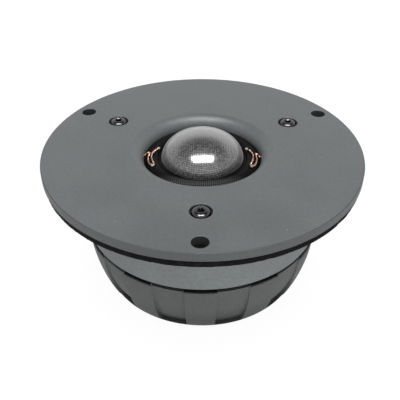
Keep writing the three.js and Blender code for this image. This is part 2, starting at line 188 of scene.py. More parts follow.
class TweeterSettings(bpy.types.PropertyGroup):
    plate: PointerProperty(type=PlateSettings)
    screws: PointerProperty(type=ScrewSettings)
    dome: PointerProperty(type=DomeSettings)
    leads: PointerProperty(type=LeadSettings)
    cup: PointerProperty(type=CupSettings)
    finish: PointerProperty(type=FinishSettings)
    studio: PointerProperty(type=StudioSettings)


def settings():
    return bpy.context.scene.tweeter


# ---------- outlines ----------
# An outline is a list of (radius, height) points, run anticlockwise with the axis on the left.

def rounded(corners, steps=5):
    """An outline whose corners, each (radius, height, rounding), are replaced by arcs."""
    outline = []
    for i, (radius, height, rounding) in enumerate(corners):
        here = Vector((radius, height))
        if rounding == 0:
            outline.append(here)
            continue
        before = (Vector(corners[i - 1][:2]) - here).normalized()
        after = (Vector(corners[(i + 1) % len(corners)][:2]) - here).normalized()
        half = before.angle(after) / 2
        centre = here + (before + after).normalized() * rounding / math.sin(half)
        start = here + before * rounding / math.tan(half) - centre
        stop = here + after * rounding / math.tan(half) - centre
        sweep = start.angle(stop)
        for k in range(steps + 1):
            share = k / steps
            spoke = start * math.sin((1 - share) * sweep) + stop * math.sin(share * sweep)
            outline.append(centre + spoke / math.sin(sweep))
    return outline


def plot(*pairs):
    """Points of an outline, from (radius, height) pairs."""
    return [Vector(pair) for pair in pairs]


def quarter(centre, across, up, steps):
    """Points on a quarter of an ellipse, from its outermost one up to its highest."""
    points = []
    for k in range(steps + 1):
        angle = math.radians(90 * k / steps)
        points.append(Vector((centre[0] + across * math.cos(angle), centre[1] + up * math.sin(angle))))
    return points


def at_bearing(radius, bearing, height=0.0):
    angle = math.radians(bearing)
    return Vector((radius * math.sin(angle), -radius * math.cos(angle), height))


def bearings(count, first=0.0):
    return [first + 360 / count * i for i in range(count)]


# ---------- solids ----------

def revolve(outline, steps=RING_STEPS, closed=True):
    """The solid of revolution of an outline, which is left open where it ends on the axis."""
    bm = bmesh.new()
    verts = [bm.verts.new((radius, 0, height)) for radius, height in outline]
    edges = [bm.edges.new(pair) for pair in zip(verts, verts[1:])]
    if closed:
        edges.append(bm.edges.new((verts[-1], verts[0])))
    bmesh.ops.spin(bm, geom=verts + edges, cent=(0, 0, 0), axis=(0, 0, 1), angle=TURN, steps=steps,
                   use_merge=True, use_duplicate=False)
    return tidy(bm)


def tidy(bm, weld=WELD):
    """Welds a mesh's doubled points and turns its faces outwards."""
    bmesh.ops.remove_doubles(bm, verts=bm.verts, dist=weld)
    bmesh.ops.dissolve_degenerate(bm, edges=bm.edges, dist=weld)
    bmesh.ops.recalc_face_normals(bm, faces=bm.faces)
    if bm.calc_volume(signed=True) < 0:
        bmesh.ops.reverse_faces(bm, faces=bm.faces)
    return bm


def block(low, high, rounding=0.0, segments=3):
    """A box between two corners, its edges rounded."""
    bm = bmesh.new()
    bmesh.ops.create_cube(bm, size=1)
    low, high = Vector(low), Vector(high)
    bmesh.ops.scale(bm, vec=high - low, verts=bm.verts)
    bmesh.ops.translate(bm, vec=(low + high) / 2, verts=bm.verts)
    if rounding:
        bmesh.ops.bevel(bm, geom=bm.edges, offset=rounding, segments=segments, profile=0.5, affect="EDGES",
                        material=-1, clamp_overlap=True)
    return bm


def prism(sides, across, low, high, turn):
    """An upright prism with that many sides, turned by some degrees; across is its width over two flats."""
    radius = across / 2 / math.cos(math.pi / sides)
    bm = bmesh.new()
    bmesh.ops.create_cone(bm, cap_ends=True, segments=sides, radius1=radius, radius2=radius,
                          depth=high - low)
    return moved(turned(bm, turn), (0, 0, (low + high) / 2))


def moved(bm, offset):
    bmesh.ops.translate(bm, vec=offset, verts=bm.verts)
    return bm


def turned(bm, degrees, axis="Z"):
    rotation = Matrix.Rotation(math.radians(degrees), 3, axis)
    bmesh.ops.rotate(bm, cent=(0, 0, 0), matrix=rotation, verts=bm.verts)
    return bm


def evaluated(thing):
    """A new mesh of an object with its modifiers or its bevel carried out."""
    bpy.context.view_layer.update()
    return bpy.data.meshes.new_from_object(thing.evaluated_get(bpy.context.evaluated_depsgraph_get()))


def joined(shapes):
    """One mesh of several separate shapes."""
    together = bmesh.new()
    for shape in shapes:
        mesh = bpy.data.meshes.new("shape")
        shape.to_mesh(mesh)
        shape.free()
        together.from_mesh(mesh)
        bpy.data.meshes.remove(mesh)
    return together


def cut(bm, cutter):
    """What is left of a solid when the cutter's solids are taken away."""
    objects = []
    for name, shape in (("body", bm), ("cutter", cutter)):
        mesh = bpy.data.meshes.new(name)
        shape.to_mesh(mesh)
        shape.free()
        objects.append(bpy.data.objects.new(name, mesh))
        bpy.context.scene.collection.objects.link(objects[-1])
    body, tool = objects
    boolean = body.modifiers.new("Cut", "BOOLEAN")
    boolean.operation = "DIFFERENCE"
    boolean.solver = "EXACT"
    boolean.object = tool
    result = evaluated(body)
    left = bmesh.new()
    left.from_mesh(result)
    for mesh in (body.data, tool.data, result):
        bpy.data.meshes.remove(mesh)
    if not left.faces:
        raise RuntimeError("a cut left nothing")
    return tidy(left)


def wire(points, radius):
    """A round wire along points, with closed ends."""
    curve = bpy.data.curves.new("wire", "CURVE")
    curve.dimensions = "3D"
    curve.bevel_depth = radius
    curve.bevel_resolution = WIRE_STEPS
    curve.use_fill_caps = True
    spline = curve.splines.new("POLY")
    spline.points.add(len(points) - 1)
    for place, point in zip(spline.points, points):
        place.co = (*point, 1)
    holder = bpy.data.objects.new("wire", curve)
    bpy.context.scene.collection.objects.link(holder)
    mesh = evaluated(holder)
    bm = bmesh.new()
    bm.from_mesh(mesh)
    bpy.data.objects.remove(holder)
    bpy.data.curves.remove(curve)
    bpy.data.meshes.remove(mesh)
    return tidy(bm)


def smooth_route(points, steps):
    """Points on a smooth curve through the given ones, that many to each stretch."""
    route = []
    for i in range(len(points) - 1):
        before = points[max(i - 1, 0)]
        start = points[i]
        stop = points[i + 1]
        after = points[min(i + 2, len(points) - 1)]
        for k in range(steps):
            t = k / steps
            route.append(0.5 * (2 * start + (stop - before) * t
                                + (2 * before - 5 * start + 4 * stop - after) * t ** 2
                                + (3 * start - before - 3 * stop + after) * t ** 3))
    route.append(points[-1])
    return route


def show(name, bm, finish, nodes=(), body="frame", weighted=True):
    """Makes a piece of a mesh: gives it its finish, and hangs it on its body in place of its CAD nodes."""
    mesh = bpy.data.meshes.new(name)
    bm.to_mesh(mesh)
    bm.free()
    mesh.materials.append(finish)
    for face in mesh.polygons:
        face.use_smooth = True
    mesh.set_sharp_from_angle(angle=SHARP)
    piece = bpy.data.objects.new(name, mesh)
    bpy.context.scene.collection.objects.link(piece)
    if weighted:
        normals = piece.modifiers.new("Weighted Normals", "WEIGHTED_NORMAL")
        normals.keep_sharp = True
    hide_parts(*nodes)
    if body:
        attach(piece, body)
    return piece


# ---------- material tools ----------

class Wiring:
    """Adds nodes to a node tree and joins them up."""

    def __init__(self, tree):
        self.tree = tree

    def add(self, kind, inputs=None, **options):
        node = self.tree.nodes.new("ShaderNode" + kind)
        for name, value in options.items():
            setattr(node, name, value)
        self.fill(node, inputs or {})
        return node

    def join(self, value, socket):
        if isinstance(value, bpy.types.NodeSocket):
            self.tree.links.new(value, socket)
        else:
            socket.default_value = value

    def fill(self, node, inputs):
        """Sets a node's inputs, or links them where another node's output is given."""
        for key, value in inputs.items():
            self.join(value, node.inputs[key])

    def math(self, operation, first, second=0.0):
        return self.add("Math", {0: first, 1: second}, operation=operation).outputs[0]

    def spread(self, value, low, high, to_low=0.0, to_high=1.0):
        """Maps a value's range on another, held at its ends."""
        names = {"Value": value, "From Min": low, "From Max": high, "To Min": to_low, "To Max": to_high}
        return self.add("MapRange", names, interpolation_type="SMOOTHSTEP").outputs[0]

    def blend(self, share, first, second, kind="MIX"):
        node = self.add("Mix", {0: share, 6: first, 7: second}, data_type="RGBA", blend_type=kind)
        return node.outputs[2]

    def noise(self, place, scale, detail=3.0, roughness=0.5):
        inputs = {"Vector": place, "Scale": scale, "Detail": detail, "Roughness": roughness}
        return self.add("TexNoise", inputs).outputs["Fac"]

    def group(self, tree, inputs):
        node = self.add("Group")
        node.node_tree = tree
        self.fill(node, inputs)
        return node.outputs


def linear(shade, scale=1.0):
    """A display colour as the light that a shader works in."""
    values = []
    for value in shade:
        low = value / 12.92
        high = ((value + 0.055) / 1.055) ** 2.4
        values.append(scale * (low if value <= 0.04045 else high))
    return (*values, 1.0)


def grey(level):
    return (level, level, level, 1.0)


def scaled(shade, factor, lift=0.0):
    """A shader's colour made darker or lighter."""
    return (*[min(value * factor + lift, 1) for value in shade[:3]], 1)


def shared_group(name, inputs, outputs, build):
    """A node group by name, built the first time that it is asked for."""
    tree = bpy.data.node_groups.get(name)
    if tree:
        return tree
    tree = bpy.data.node_groups.new(name, "ShaderNodeTree")
    for socket, kind in inputs.items():
        tree.interface.new_socket(name=socket, in_out="INPUT", socket_type="NodeSocket" + kind)
    for socket, kind in outputs.items():
        tree.interface.new_socket(name=socket, in_out="OUTPUT", socket_type="NodeSocket" + kind)
    wiring = Wiring(tree)
    given = tree.nodes.new("NodeGroupInput").outputs
    wanted = tree.nodes.new("NodeGroupOutput").inputs
    build(wiring, given, wanted)
    return tree


def build_grain(wiring, given, wanted):
    fine = wiring.noise(given["Place"], given["Scale"], 4.0, 0.6)
    pit_scale = wiring.math("MULTIPLY", given["Scale"], 0.7)
    pits = wiring.add("TexVoronoi", {"Vector": given["Place"], "Scale": pit_scale}).outputs["Distance"]
    wiring.join(wiring.math("ADD", fine, wiring.math("MULTIPLY", pits, 0.5)), wanted["Height"])
    broad = wiring.noise(given["Place"], wiring.math("MULTIPLY", given["Scale"], 0.03), 2.0)
    wiring.join(wiring.spread(broad, 0.3, 0.7), wanted["Blotch"])


def grain_group():
    """Fine moulded or sprayed grain, and the slow change of tone over it."""
    return shared_group("Grain", {"Place": "Vector", "Scale": "Float"},
                        {"Height": "Float", "Blotch": "Float"}, build_grain)


def build_dust(wiring, given, wanted):
    cells = wiring.add("TexVoronoi", {"Vector": given["Place"], "Scale": given["Scale"], "Randomness": 1.0})
    broad = wiring.noise(given["Place"], wiring.math("MULTIPLY", given["Scale"], 0.35))
    size = wiring.spread(broad, 0.45, 0.8)
    reach = wiring.math("MULTIPLY", size, given["Size"])
    away = wiring.math("DIVIDE", cells.outputs["Distance"], wiring.math("MAXIMUM", reach, 1e-4))
    steep = wiring.math("MULTIPLY", wiring.math("SUBTRACT", 1.0, away), 3.0)
    wiring.join(wiring.math("MAXIMUM", wiring.math("MINIMUM", steep, 1.0), 0.0), wanted["Mask"])


def dust_group():
    """Scattered specks of dust."""
    return shared_group("Dust", {"Place": "Vector", "Scale": "Float", "Size": "Float"}, {"Mask": "Float"},
                        build_dust)


def build_wear(wiring, given, wanted):
    soft = wiring.add("Bevel", {"Radius": given["Radius"]}, samples=6)
    plain = wiring.add("NewGeometry").outputs["Normal"]
    match = wiring.add("VectorMath", {0: soft.outputs[0], 1: plain}, operation="DOT_PRODUCT")
    edge = wiring.spread(match.outputs["Value"], 0.985, 0.86)
    broken = wiring.spread(wiring.noise(given["Place"], given["Scale"], 4.0), 0.35, 0.65)
    wiring.join(wiring.math("MULTIPLY", edge, broken), wanted["Mask"])


def wear_group():
    """A broken mask along edges, where a finish is rubbed."""
    return shared_group("Edge Wear", {"Place": "Vector", "Radius": "Float", "Scale": "Float"},
                        {"Mask": "Float"}, build_wear)


def build_weave(wiring, given, wanted):
    split = wiring.add("SeparateXYZ", {0: given["Place"]}).outputs
    waves = []
    for axis in (0, 1):
        turns = wiring.math("MULTIPLY", wiring.math("DIVIDE", split[axis], given["Pitch"]), math.pi)
        waves.append(wiring.math("SINE", turns))
    heights = []
    for along, across, side in ((waves[0], waves[1], 0.4), (waves[1], waves[0], -0.4)):
        crimp = wiring.math("MULTIPLY", wiring.math("MULTIPLY", across, wiring.math("SIGN", along)), side)
        lift = wiring.math("ADD", crimp, 0.6)
        heights.append(wiring.math("MULTIPLY", wiring.math("ABSOLUTE", along), lift))
    height = wiring.math("MAXIMUM", heights[0], heights[1])
    wiring.join(height, wanted["Height"])
    wiring.join(wiring.spread(height, 0.35, 0.85), wanted["Thread"])


def weave_group():
    """Plain weave: each thread passes over one and under the next."""
    return shared_group("Plain Weave", {"Place": "Vector", "Pitch": "Float"},
                        {"Height": "Float", "Thread": "Float"}, build_weave)


def start_finish(name):
    """A new material: its wiring, its shader and the point on the piece, in metres."""
    material = bpy.data.materials.new(name)
    material.use_nodes = True
    wiring = Wiring(material.node_tree)
    shader = material.node_tree.nodes["Principled BSDF"]
    place = wiring.add("TexCoord").outputs["Object"]
    return material, wiring, shader, place


def bump(wiring, shader, height, distance, strength=1.0):
    node = wiring.add("Bump", {"Height": height, "Distance": distance, "Strength": strength})
    wiring.join(node.outputs[0], shader.inputs["Normal"])


def distance_from_axis(wiring, place):
    split = wiring.add("SeparateXYZ", {0: place}).outputs
    squares = [wiring.math("MULTIPLY", split[axis], split[axis]) for axis in (0, 1)]
    return wiring.math("SQRT", wiring.math("ADD", *squares))


def coated(name, shade, grain_scale, roughness, grain_depth=0.02, tone=0.12, dust=0.35, wear=0.4,
           specular=0.5, painted_shade_mask=None, painted_shade_depth=0.5):
    """A finish with fine grain, slow changes of tone, rubbed edges and a little dust.

    A mask builder, where one is given, is called with (wiring, place) and says where shade is painted: there
    the colour goes towards black and the gloss is roughened away.
    """
    material = bpy.data.materials.get(name)
    if material:
        return material
    material, wiring, shader, place = start_finish(name)
    grain = wiring.group(grain_group(), {"Place": place, "Scale": grain_scale})
    specks = wiring.group(dust_group(), {"Place": place, "Scale": 420.0, "Size": 0.16})
    worn = wiring.group(wear_group(), {"Place": place, "Radius": 0.35 * MM, "Scale": 900.0})
    base = linear(shade)
    toned = wiring.blend(grain["Blotch"], scaled(base, 1 - tone), scaled(base, 1 + tone))
    mottle = wiring.spread(grain["Height"], 0.4, 1.0, 1 - tone, 1 + tone)
    mottled = wiring.add("CombineColor", {0: mottle, 1: mottle, 2: mottle}).outputs[0]
    toned = wiring.blend(1.0, toned, mottled, "MULTIPLY")
    rubbed = wiring.blend(wiring.math("MULTIPLY", worn["Mask"], wear), toned, scaled(base, 1.9, 0.03))
    shown = wiring.blend(wiring.math("MULTIPLY", specks["Mask"], dust), rubbed, grey(0.55))
    # Painted shade: where the mask is given, the colour goes towards near-black.
    if painted_shade_mask:
        share = wiring.math("MULTIPLY", painted_shade_mask(wiring, place), painted_shade_depth)
        shown = wiring.blend(share, shown, grey(0.003))
    rough = wiring.spread(grain["Blotch"], 0.0, 1.0, roughness - 0.04, roughness + 0.05)
    rough = wiring.math("SUBTRACT", rough, wiring.math("MULTIPLY", worn["Mask"], 0.1))
    # The painted shade also roughens the gloss away there.
    if painted_shade_mask:
        rough = wiring.math("MAXIMUM", rough, share)
    wiring.fill(shader, {"Base Color": shown, "Roughness": rough, "Specular IOR Level": specular})
    bump(wiring, shader, grain["Height"], grain_depth * MM)
    return material


def metal(name, shade, roughness, scratch=0.5, scale=600.0, tarnish=0.25):
    """Bare or plated metal, with fine scratches and a little tarnish."""
    material = bpy.data.materials.get(name)
    if material:
        return material
    material, wiring, shader, place = start_finish(name)
    stretched = wiring.add("Mapping", {"Vector": place, "Scale": (1.0, 1.0, 9.0)}).outputs[0]
    lines = wiring.noise(stretched, scale * 3, 3.0, 0.7)
    cloud = wiring.noise(place, scale * 0.4, 3.0)
    base = linear(shade)
    toned = wiring.blend(wiring.spread(cloud, 0.35, 0.7), scaled(base, 1 - tarnish), base)
    rough = wiring.spread(lines, 0.3, 0.7, roughness * (1 - scratch * 0.4), roughness * (1 + scratch * 0.6))
    wiring.fill(shader, {"Base Color": toned, "Metallic": 1.0, "Roughness": rough})
    bump(wiring, shader, lines, 0.004 * MM, scratch)
    return material


def plate_painted_shade(wiring, place):
    """Where shade is painted on the plate: 1 on the walls of its holes, and part of that over its side."""
    radius = distance_from_axis(wiring, place)
    height = wiring.add("SeparateXYZ", {0: place}).outputs[2]
    side = wiring.spread(radius, PLATE_RADIUS - 0.4 * MM, PLATE_RADIUS - 0.15 * MM, 0.0, 0.6)
    limits = (("LESS_THAN", height, PLATE_TOP - 0.2 * MM), ("GREATER_THAN", height, RIM_UNDER + 0.05 * MM),
              ("LESS_THAN", radius, PLATE_RADIUS - MM), ("GREATER_THAN", radius, HUB_RADIUS - 8 * MM))
    walls = 1.0
    for limit, value, bound in limits:
        walls = wiring.math("MULTIPLY", walls, wiring.math(limit, value, bound))
    return wiring.math("MAXIMUM", side, walls)


def plate_paint():
    # Painted shade darkens the plate's hole walls and its side.
    return coated("Satin plate paint", settings().finish.plate, 1500.0, 0.46, grain_depth=0.012, tone=0.07,
                  dust=0.5, wear=0.04, specular=0.65, painted_shade_mask=plate_painted_shade, painted_shade_depth=0.92)


def band_moulding():
    return coated("Textured band moulding", settings().finish.band, 1300.0, 0.6, tone=0.08, dust=0.3,
                  specular=0.35)


# Painted shade on the cup's lower side: this share at the lower height, none at the upper one.
CUP_SHADE = 0.6
CUP_SHADE_HEIGHTS = (1.5 * MM, 14 * MM)


def cup_painted_shade(wiring, place):
    """Where shade is painted on the cup: 1 in the seam under the band and inside the vent slots, and less
    towards its base, which is painted darker.
    """
    chosen = settings().cup
    rim = BAND_RADIUS + chosen.rim_proud
    rim_height = BAND_UNDER - chosen.seam
    height = wiring.add("SeparateXYZ", {0: place}).outputs[2]
    radius = distance_from_axis(wiring, place)
    mask = wiring.spread(height, *CUP_SHADE_HEIGHTS, CUP_SHADE, 0.0)
    for above, reach in ((rim_height, rim - 0.06 * MM), (rim_height - chosen.slot, rim - 0.5 * MM)):
        high = wiring.math("GREATER_THAN", height, above - 0.02 * MM)
        inside = wiring.math("LESS_THAN", radius, reach)
        mask = wiring.math("MAXIMUM", mask, wiring.math("MULTIPLY", high, inside))
    return mask


def cup_moulding():
    # The cup's seam, vent slots and lower side get painted shade.
    return coated("Textured cup moulding", settings().finish.cup, 1300.0, 0.62, grain_depth=0.025, tone=0.1,
                  dust=0.25, specular=0.3, painted_shade_mask=cup_painted_shade, painted_shade_depth=0.97)


def black_plastic():
    return coated("Black plastic", (0.16, 0.16, 0.17), 1100.0, 0.5, grain_depth=0.015, tone=0.1, dust=0.3)


def screw_plating():
    return metal("Plated screw steel", settings().finish.screw, 0.2, 0.5, 700.0, 0.2)


def coated_cloth():
    """The dome's woven cloth under its damping coat, with its threads on the piece's own cloth map; light is
    painted on its front, whose threads are drawn bright and whose coat is thinned between them.
    """
    material, wiring, shader, place = start_finish("Coated dome cloth")
    chosen = settings()
    cloth = wiring.add("Attribute", attribute_name="cloth").outputs["Vector"]
    drift = wiring.add("TexNoise", {"Vector": cloth, "Scale": 160.0, "Detail": 2.0}).outputs["Color"]
    sway = wiring.add("VectorMath", {0: drift, "Scale": 0.35 * MM}, operation="SCALE").outputs[0]
    bent = wiring.add("VectorMath", {0: cloth, 1: sway}, operation="ADD").outputs[0]
    weave = wiring.group(weave_group(), {"Place": bent, "Pitch": chosen.dome.weave})
    speckle = wiring.spread(wiring.noise(place, 1500.0, 3.0, 0.7), 0.35, 0.7)
    # Painted light: the front of the cloth, drawn lighter than its back.
    front = wiring.spread(wiring.add("SeparateXYZ", {0: cloth}).outputs[1], 1.0 * MM, -7.0 * MM)
    base = linear(chosen.finish.cloth)
    smooth = wiring.blend(speckle, scaled(base, 0.8), scaled(base, 1.6))
    # Painted light: thread tops on the front drawn up to 6.5 times as light as the cloth.
    threads = wiring.blend(speckle, base, scaled(base, 6.5))
    woven = wiring.blend(weave["Thread"], scaled(base, 0.1), threads)
    # Painted light carried into the coat: it is thinned between the front's threads.
    painted_front_light = wiring.math("MULTIPLY", wiring.math("SUBTRACT", 1.0, weave["Thread"]), front)
    wiring.fill(shader, {
        "Base Color": wiring.blend(front, smooth, woven),
        "Roughness": wiring.spread(speckle, 0.0, 1.0, 0.32, 0.5),
        "Coat Weight": wiring.math("SUBTRACT", 1.0, wiring.math("MULTIPLY", painted_front_light, 0.8)),
        "Coat Roughness": 0.16, "Coat IOR": 2.6,
        "Sheen Weight": 1.0, "Sheen Roughness": 0.35, "Sheen Tint": (0.85, 0.87, 0.85, 1),
    })
    height = wiring.math("ADD", weave["Height"], wiring.math("MULTIPLY", speckle, 0.3))
    bump(wiring, shader, height, 0.05 * MM, 0.75)
    return material


def roll_coating():
    """The surround's doped fabric: black, with light painted on its front, where the weave is drawn in light
    threads.
    """
    material, wiring, shader, place = start_finish("Doped surround")
    grain = wiring.group(grain_group(), {"Place": place, "Scale": 900.0})
    base = linear(settings().finish.roll)
    doped = wiring.blend(grain["Blotch"], base, scaled(base, 1.6))
    weave = wiring.group(weave_group(), {"Place": place, "Pitch": settings().dome.weave})
    behind = wiring.add("SeparateXYZ", {0: place}).outputs[1]
    # Painted light: the weave's threads are drawn light on the front of the roll only.
    painted_front_light = wiring.spread(behind, -17.0 * MM, -11.0 * MM, 1.0, 0.03)
    shown = wiring.math("MULTIPLY", weave["Thread"], painted_front_light)
    # The light thread colour of the painted front.
    thread = linear(settings().finish.cloth, 3.4)
    rough = wiring.spread(grain["Height"], 0.3, 1.1, 0.34, 0.5)
    wiring.fill(shader, {"Base Color": wiring.blend(shown, doped, thread), "Roughness": rough,
                         "Specular IOR Level": 0.07})
    bump(wiring, shader, grain["Height"], 0.02 * MM, 0.5)
    return material


def foam(name, shade, cell_scale=1400.0, depth=0.12):
    """Open foam: dark cells between lighter skins."""
    material = bpy.data.materials.get(name)
    if material:
        return material
    material, wiring, shader, place = start_finish(name)
    cells = wiring.add("TexVoronoi", {"Vector": place, "Scale": cell_scale}, feature="SMOOTH_F1")
    cells = cells.outputs["Distance"]
    cloud = wiring.noise(place, cell_scale * 0.4, 4.0, 0.65)
    base = linear(shade)
    tone = wiring.math("MULTIPLY", wiring.spread(cells, 0.1, 0.6), wiring.spread(cloud, 0.25, 0.75))
    toned = wiring.blend(tone, scaled(base, 0.3), scaled(base, 2.6))
    wiring.fill(shader, {"Base Color": toned, "Roughness": 0.92, "Specular IOR Level": 0.15})
    bump(wiring, shader, wiring.math("ADD", cells, cloud), depth * MM, 0.9)
    return material


def gasket_foam():
    return foam("Gasket foam", settings().finish.foam)


def lead_copper():
    return metal("Bare litz copper", settings().finish.copper, 0.26, 0.4, 1500.0, 0.3)


def glue():
    """Clear adhesive that has set pale."""
    material = bpy.data.materials.get("Set adhesive")
    if material:
        return material
    material, wiring, shader, place = start_finish("Set adhesive")
    cloud = wiring.noise(place, 2500.0, 3.0)
    toned = wiring.blend(cloud, (0.42, 0.40, 0.36, 1), (0.75, 0.72, 0.68, 1))
    rough = wiring.spread(cloud, 0.3, 0.7, 0.12, 0.3)
    wiring.fill(shader, {"Base Color": toned, "Roughness": rough, "Coat Weight": 0.6})
    bump(wiring, shader, cloud, 0.03 * MM, 0.4)
    return material


# ---------- faceplate ----------

SCREW_GAP = 0.3 * MM


def throat_radius():
    return ROLL_OUTER + settings().plate.throat_gap


def roll_outer_height():
    return LAND_UNDER + settings().dome.sheet


def rounded_mouth(radius, top, rounding, steps):
    """A hole's wall where it opens out to a rounded upper edge."""
    arc = quarter((0, 0), rounding, rounding, steps)
    return [Vector((radius + rounding - p.x, top - rounding + p.y)) for p in arc]


def counterbore(outer, inner, seat, low, top, rounding):
    """A cutter for a stepped hole whose upper edge is rounded."""
    outline = plot((0, low), (inner, low), (inner, seat), (outer, seat))
    outline += rounded_mouth(outer, top, rounding, 6)
    outline += plot((outer + rounding, top + MM), (0, top + MM))
    return revolve(outline, BORE_STEPS, closed=False)


def through_hole(radius, low, top, rounding):
    """A cutter for a plain hole with both edges rounded."""
    upper = rounded_mouth(radius, top, rounding, 5)
    lower = [Vector((p.x, top + low - p.y)) for p in reversed(upper)]
    edge = radius + rounding
    foot = plot((0, low - MM), (edge, low - MM))
    head = plot((edge, top + MM), (0, top + MM))
    return revolve(foot + lower + upper + head, BORE_STEPS, closed=False)


def plate_screw_radius():
    low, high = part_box("faceplate_screw_1")
    return -(low.y + high.y) / 2


def screw_seat():
    return highest("faceplate_screw_1").z - settings().screws.head_height


def faceplate_body():
    chosen = settings().plate
    throat = throat_radius()
    bottom = roll_outer_height()
    recess = 26.3 * MM
    land = LAND_RADIUS + 0.05 * MM
    lip = []
    lip_steps = 24
    for k in range(lip_steps + 1):
        angle = math.pi / 2 * k / lip_steps
        radius = throat + chosen.lip_width * (1 - math.sin(angle))
        lip.append(Vector((radius, bottom + (PLATE_TOP - bottom) * math.cos(angle))))
    # The first corner only gives the next one its direction.
    outside = rounded([
        (recess, PLATE_TOP, 0), (recess, HUB_UNDER, 0.2 * MM), (HUB_RADIUS, HUB_UNDER, 0.4 * MM),
        (HUB_RADIUS, RIM_UNDER, 0), (PLATE_RADIUS, RIM_UNDER, 0.2 * MM),
        (PLATE_RADIUS, PLATE_TOP, chosen.rim_round), (PLATE_RADIUS - 2 * MM, PLATE_TOP, 0),
    ])[1:]
    inside = plot((land, bottom), (land, bottom + MM), (recess, bottom + MM))
    bm = revolve(lip + inside + outside)
    holes = []
    for bearing in bearings(3):
        hole = through_hole(chosen.hole_radius, RIM_UNDER, PLATE_TOP, chosen.hole_round)
        holes.append(moved(hole, at_bearing(PLATE_RADIUS - chosen.hole_edge, bearing)))
        bore = counterbore(chosen.bore_radius, settings().screws.core_radius + SCREW_GAP, screw_seat(),
                           HUB_UNDER - MM, PLATE_TOP, chosen.hole_round)
        holes.append(moved(bore, at_bearing(plate_screw_radius(), bearing)))
    return cut(bm, joined(holes))


# ---------- screws ----------

def button_screw(shank):
    """A button-head screw with its head's underside at the origin and its thread pointing down."""
    chosen = settings().screws
    flat = chosen.hex_across * 0.78
    flank = 0.35 * MM
    crown = quarter((flat, flank), chosen.head_radius - flat, chosen.head_height - flank, 12)
    core = chosen.core_radius
    thread = []
    turns = int((shank - MM) / chosen.thread_pitch)
    for k in range(turns):
        low = -shank + 0.6 * MM + k * chosen.thread_pitch
        thread += plot((core - 0.22 * MM, low), (core, low + chosen.thread_pitch / 2))
    neck = core - 0.05 * MM
    outline = plot((0, -shank), (core - 0.4 * MM, -shank)) + thread
    outline += plot((neck, -0.2 * MM), (neck, 0), (chosen.head_radius, 0)) + crown
    outline += plot((0, chosen.head_height))
    bm = revolve(outline, BORE_STEPS, closed=False)
    top = chosen.head_height
    bm = cut(bm, prism(6, chosen.hex_across, top - 1.05 * MM, top + MM, 30))
    mouth = chosen.hex_across / math.sqrt(3) + 0.12 * MM
    sink = plot((0, top - 0.55 * MM), (mouth - 0.5 * MM, top - 0.5 * MM),
                (mouth + 0.1 * MM, top + 0.1 * MM), (0, top + 0.1 * MM))
    return cut(bm, revolve(sink, BORE_STEPS, closed=False))


# ---------- dome and surround ----------

def dome_base():
    return SKIRT_UNDER + settings().dome.skirt


def roll_height(radius):
    """Upper surface of the surround's roll."""
    chosen = settings().dome
    middle = ROLL_OUTER - chosen.roll_width / 2
    across = max(-1.0, min(1.0, (radius - middle) / (chosen.roll_width / 2)))
    base = dome_base()
    chord = base - chosen.roll_drop * (1 + across) / 2
    rise = CREST - (base - chosen.roll_drop / 2)
    return chord + rise * math.sqrt(1 - across * across)


def dome_shell():
    """The woven cap; each point keeps its place on the flat cloth, by its distance from the crown."""
    chosen = settings().dome
    base = dome_base()
    rise = DOME_TOP - base
    steps = 48
    outer = quarter((0, base), DOME_RADIUS, rise, steps)
    inner = quarter((0, base), DOME_RADIUS - chosen.cloth, rise - chosen.cloth, steps)
    skirt = plot((DOME_RADIUS - chosen.cloth, SKIRT_UNDER), (DOME_RADIUS, SKIRT_UNDER))
    bm = revolve([*reversed(inner), *skirt, *outer], closed=False)
    reach = [0.0]
    crown_down = list(reversed(outer))
    for above, below in zip(crown_down, crown_down[1:]):
        reach.append(reach[-1] + (below - above).length)
    cloth = bm.verts.layers.float_vector.new("cloth")
    for vert in bm.verts:
        radius = math.hypot(vert.co.x, vert.co.y)
        tilt = math.asin(min(radius / DOME_RADIUS, 1.0)) / (math.pi / 2) * steps
        below = min(int(tilt), steps - 1)
        away = reach[below] + (reach[below + 1] - reach[below]) * (tilt - below)
        away += max(base - vert.co.z, 0)
        if radius > WELD:
            vert[cloth] = (away * vert.co.x / radius, away * vert.co.y / radius, 0)
    return bm


def surround_sheet():
    chosen = settings().dome
    half = chosen.roll_width / 2
    middle = ROLL_OUTER - half
    steps = 28
    upper = []
    lower = []
    for k in range(steps + 1):
        across = -math.cos(math.pi * k / steps)
        height = roll_height(middle + across * half)
        upper.append(Vector((middle + across * half, height)))
        lower.append(Vector((middle + across * (half - chosen.sheet), height - chosen.sheet)))
    inner = DOME_RADIUS + 0.05 * MM
    base = dome_base()
    fillet = plot((inner + 0.45 * MM, base), (inner + 0.15 * MM, base + 0.1 * MM), (inner, base + 0.3 * MM))
    land = plot((LAND_RADIUS, LAND_UNDER), (LAND_RADIUS, LAND_UNDER + chosen.sheet))
    return revolve(plot((inner, base - chosen.sheet)) + lower + land + upper[::-1] + fillet)


# ---------- leads ----------
# Each point is its distance inside the throat and its distance behind the middle, in millimetres.
LEAD_ROUTE = [
    (0.95, 0.9), (1.85, 0.6), (1.6, -1.2), (1.65, -3.4), (2.25, -5.6), (3.25, -6.9),
    (3.85, -6.3), (3.25, -4.6), (2.75, -2.2), (2.85, 0.2), (3.75, 2.2), (4.65, 3.4),
]
NOTCH_Y = 0.9 * MM
ROUTE_STEPS = 12
GLUED_AT = 7 * ROUTE_STEPS + 2


def lead_path(side):
    """The middle line of a lead: off its lug, out of the notch, round a hairpin and back to the dome."""
    chosen = settings()
    on_lug = LAND_UNDER + 0.35 * MM + chosen.leads.radius
    throat = throat_radius()
    points = []
    for radius in (LAND_RADIUS + 1.2 * MM, throat + 0.2 * MM):
        points.append(Vector((side * radius, NOTCH_Y, on_lug)))
    for inside, behind in LEAD_ROUTE:
        across = throat - inside * MM
        height = roll_height(math.hypot(across, behind * MM)) + chosen.leads.radius + 0.12 * MM
        points.append(Vector((side * across, behind * MM, height)))
    return smooth_route(points, ROUTE_STEPS)


